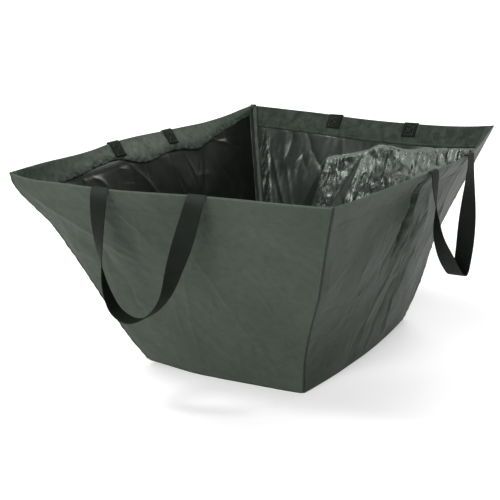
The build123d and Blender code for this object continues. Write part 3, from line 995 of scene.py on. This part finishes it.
def binding(corner):
    """Tape folded over the seam allowances inside a corner."""
    first, second = CORNERS[corner]
    rises = np.linspace(6 * MM / HEIGHT, 1 - 1.5 * MM / HEIGHT, 110)
    reaches = np.array([15, 13.5, 11.5, 9.5, 7.5, 5.5, 3.8, 2.4, 1.2, 0.3]) * MM
    columns = [(first, 1, reach) for reach in reaches] + [(second, -1, reach) for reach in reaches[::-1]]
    layers = [np.stack([wall_point(wall, side * (1 - reach / wall_half(wall, rises)), rises,
                                   binding_depth(reach, rises) + thick)
                        for wall, side, reach in columns], axis=1)
              for thick in (TAPE, 0.0)]
    widths = [-side * reach for _, side, reach in columns]
    tape_piece(f"{corner}_binding", f"{corner}_seam_binding", layers, widths, rises * slant(first))


def nub(corner):
    """Folded end of the binding that stands up above the rim."""
    first, _ = CORNERS[corner]
    foot_at = wall_point(first, np.array(1.0), np.array(1.0), HEM_FACE)
    inward = unit(-foot_at * np.array([1, 1, 0]))
    side = np.cross(inward, [0, 0, 1.0])
    outline = ((1, 0), (0.85, 0.8), (-0.85, 0.8), (-1, 0), (-0.85, -0.8), (0.85, -0.8))
    rings = []
    foot_at = foot_at + np.array([5, 0, -2]) * MM
    for reach, height in ((5, -13), (5.5, -4), (5.2, 1), (3.6, 4), (1, 5), (-1.6, 4), (-2.8, 1), (-3, -3)):
        middle = foot_at + inward * reach * MM + np.array([0, 0, height * MM])
        width = (8.5 - 0.3 * abs(height)) * MM
        rings.append([middle + side * u * width + inward * v * 1.2 * MM for u, v in outline])
    rings = np.array(rings)
    faces = tube_faces(*rings.shape[:2])
    obj = make_object(f"{corner}_binding_nub", rings, faces, [TAPE_CLOTH], rings[..., :2])
    bag_piece(obj, "binding_tape")


def seam_edge(corner):
    """Dark folded edge that shows in a corner's groove outside."""
    first, second = CORNERS[corner]
    rises = np.linspace(3 * MM / HEIGHT, 1, 170)
    middle = wall_point(first, np.ones_like(rises), rises, -0.2 * MM)
    middle = (middle + wall_point(second, -np.ones_like(rises), rises, -0.2 * MM)) / 2
    away = unit(facing(first) + facing(second))
    middle = middle + away * ((0.35 * np.sin(rises * 73) + 0.25 * np.sin(rises * 171)) * MM)[:, None]
    run = unit(np.gradient(middle, axis=0))
    side = np.cross(run, away)
    square = np.cross(side, run)
    size = PIPING * (1 + 0.15 * np.sin(rises * 140))[:, None]
    rings = np.stack([middle + (side * math.cos(angle) + square * math.sin(angle)) * size
                      for angle in np.linspace(0, 2 * math.pi, 8, endpoint=False)], axis=1)
    obj = make_object(f"{corner}_seam_edge", rings, tube_faces(*rings.shape[:2]), [SEAM_EDGE])
    bag_piece(obj, "binding_tape")


def base_tape(wall):
    """Tape inside the bottom edge, folded from the base up the wall."""
    half = wall_half(wall, 0)
    acrosses = np.linspace(-1, 1, int(2 * half / (5 * MM))) * (1 - 8 * MM / half)
    on_base = np.array([11, 7, 3.5]) * MM
    on_wall = 5 * MM + np.array([0, 0.25, 0.5, 1]) * BASE_TAPE_WIDTH
    pucker = (0.3 * np.sin(acrosses * half * 260) + 0.3) * MM
    layers = []
    for thick in (TAPE, 0.0):
        lift = np.array([0, 0, 1.0]) * (1.9 * MM + thick + pucker)[:, None]
        rows = [foot(wall, acrosses) - facing(wall) * reach + lift for reach in on_base]
        for reach in on_wall:
            rise = np.full_like(acrosses, reach / HEIGHT)
            rows.append(wall_point(wall, acrosses, rise, FABRIC + 0.7 * MM + thick))
        layers.append(np.stack(rows))
    up = np.concatenate([-on_base, on_wall])
    tape_piece(f"{wall}_base_tape_cloth", f"{wall}_base_tape", layers, acrosses * half, up)


# ---------------------------------------------------------------- stitches
def stitch_pair(wall, across, rises, depth, inner=0, lift=0.0):
    """A stitch outside on a wall and one inside at a depth: both ends, then the way it faces."""
    square = wall_ways(wall, rises)[0][0]
    outside = wall_point(wall, across, rises, -CLEAR)
    inside = wall_point(wall, across, rises, depth, inner) - square * np.reshape(lift + CLEAR, (-1, 1))
    return [(*outside, square), (*inside, -square)]


def sew(name, segments, node):
    """Short rounded lengths of thread, one for each stitch."""
    rings = []
    faces = []
    for start, end, away in segments:
        faces += tube_faces(len(THREAD_SHAPE), THREAD_SIDES, len(rings) * THREAD_SIDES)
        run = unit(end - start)
        away = unit(away - run * (away @ run))
        side = np.cross(away, run)
        turns = [away * math.cos(angle) + side * math.sin(angle)
                 for angle in np.linspace(0, 2 * math.pi, THREAD_SIDES, endpoint=False)]
        for share, size in THREAD_SHAPE:
            arch = 0.5 * THREAD * (1 - (2 * share - 1) ** 2)
            middle = start + (end - start) * share + away * arch
            rings.append(middle + THREAD * size * np.array(turns))
    bag_piece(make_object(name, rings, faces, [THREAD_LOOK]), "thread", node)


def hem_stitches(wall):
    """The hem's row of stitches, from one corner's seam to the other."""
    half = wall_half(wall, HEM_STITCH_RISE)
    reach = half - 10 * MM
    segments = []
    for start in np.arange(-reach, reach, STITCH):
        across = np.array([start, start + STITCH * STITCH_SHARE]) / half
        rises = hem_edge(wall, across) + HEM_MARGIN / HEIGHT
        segments += stitch_pair(wall, across, rises, hem_depth(rises), 1, hem_lift(wall, across, rises))
    sew(f"{wall}_hem_stitches", segments, f"{wall}_hem_stitching")


def corner_stitches(corner):
    """A row on each wall beside a corner, outside on the wall and inside on the binding."""
    segments = []
    for wall, side in zip(CORNERS[corner], (1, -1)):
        for start in np.arange(8 * MM, HEIGHT - 4 * MM, STITCH):
            rises = np.array([start, start + STITCH * STITCH_SHARE]) / HEIGHT
            across = side * (1 - SEAM_ROW / wall_half(wall, rises))
            segments += stitch_pair(wall, across, rises, binding_depth(SEAM_ROW, rises) + TAPE)
    sew(f"{corner}_seam_stitches", segments, f"{corner}_seam_stitching")


def box_lines():
    """Box with a cross, in metres from the middle of a sewn end: pairs of ends."""
    x, y = STRAP_WIDTH / 2 - 5 * MM, STUB_DROP / 2 - 6 * MM
    corners = [(-x, -y), (x, -y), (x, y), (-x, y)]
    sides = list(zip(corners, corners[1:] + corners[:1]))
    return sides + [(corners[0], corners[2]), (corners[1], corners[3])]


def box_stitches(wall):
    """Box stitches of both sewn ends, on the webbing inside and on the wall outside."""
    segments = []
    drop = STUB_DROP / 2 + 1 * MM
    for side in (-1, 1):
        for (x0, y0), (x1, y1) in box_lines():
            count = int(math.hypot(x1 - x0, y1 - y0) / STITCH)
            for first in np.arange(count) / count:
                share = np.array([first, first + STITCH_SHARE / count])
                along = side * WALLS[wall]["strap_at"] + x0 + (x1 - x0) * share
                rises = 1 - (drop - y0 - (y1 - y0) * share) / HEIGHT
                across = along / wall_half(wall, rises)
                segments += stitch_pair(wall, across, rises, stub_depth(rises) + STRAP_THICK / 2)
    sew(f"{wall}_box_stitches", segments, f"{wall}_handle_box_stitching")


# ---------------------------------------------------------------- handles
def stub_depth(rise):
    """Depth of the webbing's middle on a sewn end."""
    return hem_depth(rise) + STRAP_THICK / 2 + 1.2 * MM


def lengths_along(line):
    return np.concatenate([[0], np.cumsum(np.linalg.norm(np.diff(line, axis=0), axis=1))])


def part_way(first, second, start, end, at):
    """Point that goes in a straight line from first, at start, to second, at end."""
    return (first * (end - at) + second * (at - start)) / (end - start)


def smooth_line(points, step):
    """Even points along a smooth line through the given ones."""
    points = np.asarray(points, float)
    padded = np.concatenate([[2 * points[0] - points[1]], points, [2 * points[-1] - points[-2]]])
    line = []
    for p0, p1, p2, p3 in zip(padded, padded[1:], padded[2:], padded[3:]):
        # Knots by the square root of distance keep the line free of loops
        t1 = np.linalg.norm(p1 - p0) ** 0.5
        t2 = t1 + np.linalg.norm(p2 - p1) ** 0.5
        t3 = t2 + np.linalg.norm(p3 - p2) ** 0.5
        for t in np.linspace(t1, t2, 24, endpoint=False):
            a1 = part_way(p0, p1, 0, t1, t)
            a2 = part_way(p1, p2, t1, t2, t)
            a3 = part_way(p2, p3, t2, t3, t)
            line.append(part_way(part_way(a1, a2, 0, t2, t), part_way(a2, a3, t1, t3, t), t1, t2, t))
    line = np.array(line + [points[-1]])
    runs = lengths_along(line)
    even = np.linspace(0, runs[-1], int(runs[-1] / step) + 1)
    return np.stack([np.interp(even, runs, line[:, k]) for k in range(3)], axis=-1)


def fold_line(wall):
    """Distance out and height of the line that a handle folds about."""
    x, y, z = HINGE[wall]
    return abs(x) + abs(y), z


def sewn_end(wall, side):
    """Webbing from a sewn end's lower edge, up the hem and over the rim, as (along, out, up)."""
    along = side * WALLS[wall]["strap_at"]
    face = facing(wall)
    line = []
    for drop in (STUB_DROP, STUB_DROP * 0.66, STUB_DROP * 0.33, 5 * MM):
        rise = 1 - drop / HEIGHT
        point = wall_point(wall, np.array(along / wall_half(wall, rise)), np.array(rise), stub_depth(rise))
        line.append((along, point @ face, point[2]))
    rim = wall_point(wall, np.array(along / wall_half(wall, 1)), np.array(1.0))
    for out, up in ((-2.4, 2.8), (1.2, 3.9), (4.6, 1.8)):
        line.append((along, rim @ face + out * MM, rim[2] + up * MM))
    return line


def strap_outline():
    """Outline of the webbing: (across its width, through its thickness), with rounded edges."""
    radius = STRAP_THICK / 2
    half = STRAP_WIDTH / 2 - radius
    turns = np.radians((45, 90, 135))
    outline = [(x, radius) for x in np.linspace(half, -half, STRAP_COLUMNS)]
    outline += [(-half - radius * math.sin(t), radius * math.cos(t)) for t in turns]
    outline += [(x, -radius) for x in np.linspace(-half, half, STRAP_COLUMNS)]
    outline += [(half + radius * math.sin(t), -radius * math.cos(t)) for t in turns]
    return outline


def handle_line(wall):
    """Middle line of a handle's webbing, and how far along it the hanging loop starts and stops."""
    w = WALLS[wall]
    out, top = fold_line(wall)
    hang = [(x * MM, out - PIVOT_OUT + STRAP_OUT, top + z * MM) for x, z in LOOP_LINES[w["loop"]]]
    if w["mirror"] < 0:
        hang = [(-x, n, z) for x, n, z in reversed(hang)]
    left, right = sewn_end(wall, -1), sewn_end(wall, 1)
    for end, first in ((left, hang[0]), (right, hang[-1])):
        # Comes down straight towards the loop's first point
        start = np.array(end[-1])
        end.append(start + (np.array(first) - start) * 0.25 + np.array([0, 1.2 * MM, 0]))
    line = smooth_line(left + hang + right[::-1], 3 * MM)
    lengths = lengths_along(line)
    start, stop = (lengths[np.argmin(np.linalg.norm(line - end[-2], axis=1))] for end in (left, right))
    return line, lengths, start, stop


def webbing_ways(wall, run, share, free):
    """Unit vectors across the webbing and out of its face, where it runs along run.

    share is the place's share of the loop, and free is 0 over the rim and 1 where the loop hangs freely.
    """
    w = WALLS[wall]
    near_left = share < 0.5
    straighter = w["loop"] == "round" and near_left == (w["mirror"] > 0)
    quarter = math.pi / 2 * ease(min(share, 1 - share) / (TWIST_STRAIGHT if straighter else TWIST_SHARE))
    sideways = np.array([run[2], 0, -run[0]]) * LOOP_TWIST[w["loop"]] * w["mirror"]
    face = sideways * math.sin(quarter) + np.array([0, 1, 0]) * math.cos(quarter)
    # Over the rim the webbing keeps its width along the rim
    rim_width = np.array([-1.0 if near_left else 1.0, 0, 0])
    width = unit(rim_width * (1 - free) + unit(np.cross(face, run)) * free)
    return width, unit(np.cross(run, width))


def handle(wall):
    """One length of webbing: sewn end, over the rim, hanging loop, and back."""
    line, lengths, start, stop = handle_line(wall)
    outline = strap_outline()
    rings = []
    wear = []
    for point, run, length in zip(line, unit(np.gradient(line, axis=0)), lengths):
        share = np.clip((length - start) / (stop - start), 0, 1)
        free = ease(min(length - start, stop - length) / RIM_REACH)
        width, face = webbing_ways(wall, run, share, free)
        rings.append([place(wall, *(point + width * x + face * y)) for x, y in outline])
        # Painted highlight where the webbing comes over the rim, and wear near the loop's bottom, scaled
        # for each wall
        near_rim = math.exp(-(min(abs(length - start), abs(length - stop)) / RIM_HIGHLIGHT_REACH) ** 2)
        near_bottom = math.exp(-((share - RUB_BOTTOM[0]) / RUB_BOTTOM[1]) ** 2)
        wear.append([max(near_rim, 0.7 * near_bottom) * WALLS[wall]["lit_and_worn"]] * len(outline))
    uv = np.stack(np.meshgrid([x for x, _ in outline], lengths), axis=-1)
    faces = tube_faces(len(rings), len(outline))
    obj = make_object(f"{wall}_handle_webbing", rings, faces, [WEBBING], uv, marks=dict(wear=wear))
    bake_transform(obj)
    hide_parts(f"{wall}_handle_loop", f"{wall}_handle_left_end", f"{wall}_handle_right_end")


for wall in WALLS:
    panel(wall)
    hem(wall)
    base_tape(wall)
    hem_stitches(wall)
    box_stitches(wall)
    handle(wall)
for corner in CORNERS:
    binding(corner)
    seam_edge(corner)
    corner_stitches(corner)
nub("back_left")
base()


# ---------------------------------------------------------------- stage and light
HORIZON_FADE = (0.10, 0.18)   # sines of the elevations between which the horizon fades
SKY = 0.03                    # strength of the sky above it
FLOOR_GLOW = 0.33


def stage():
    bpy.ops.mesh.primitive_plane_add(size=80, location=(0, 0, 0))
    floor = bpy.context.object
    floor.name = "floor"
    s = Shader("pale_floor", 0.9, 0.1)
    s.set("Base Color", (0.92, 0.92, 0.92, 1))
    s.set("Emission Color", (1, 1, 1, 1))
    s.set("Emission Strength", FLOOR_GLOW)
    floor.data.materials.append(s.material)


def sun(name, azimuth, elevation, strength, angle):
    """Soft distant light from a compass direction: azimuth 0 is in front of the bag, 90 on its right."""
    data = bpy.data.lights.new(name, "SUN")
    data.energy = strength
    data.angle = math.radians(angle)
    obj = add_object(name, data)
    a, e = math.radians(azimuth), math.radians(elevation)
    towards = Vector((math.sin(a) * math.cos(e), -math.cos(a) * math.cos(e), math.sin(e)))
    obj.rotation_euler = towards.to_track_quat("Z", "Y").to_euler()


def sky():
    """Faint even light from above, over a pale horizon that carries the floor on."""
    world = bpy.data.worlds.new("studio")
    world.use_nodes = True
    nodes, links = world.node_tree.nodes, world.node_tree.links
    nodes["Background"].inputs["Color"].default_value = (1, 1, 1, 1)
    split = nodes.new("ShaderNodeSeparateXYZ")
    links.new(nodes.new("ShaderNodeTexCoord").outputs["Generated"], split.inputs[0])
    fade = nodes.new("ShaderNodeMapRange")
    for socket, value in zip(("From Min", "From Max", "To Min", "To Max"), (*HORIZON_FADE, 1.0, SKY)):
        fade.inputs[socket].default_value = value
    links.new(split.outputs[2], fade.inputs["Value"])
    links.new(fade.outputs["Result"], nodes["Background"].inputs["Strength"])
    bpy.context.scene.world = world


stage()
sky()
sun("front", 3, 20, 3.05, 32)
sun("behind", 176, 38, 2.1, 45)
sun("left", -90, 55, 1.4, 45)
sun("sparkle", -33, 63, 0.8, 11)
bpy.context.scene.view_settings.view_transform = "Standard"
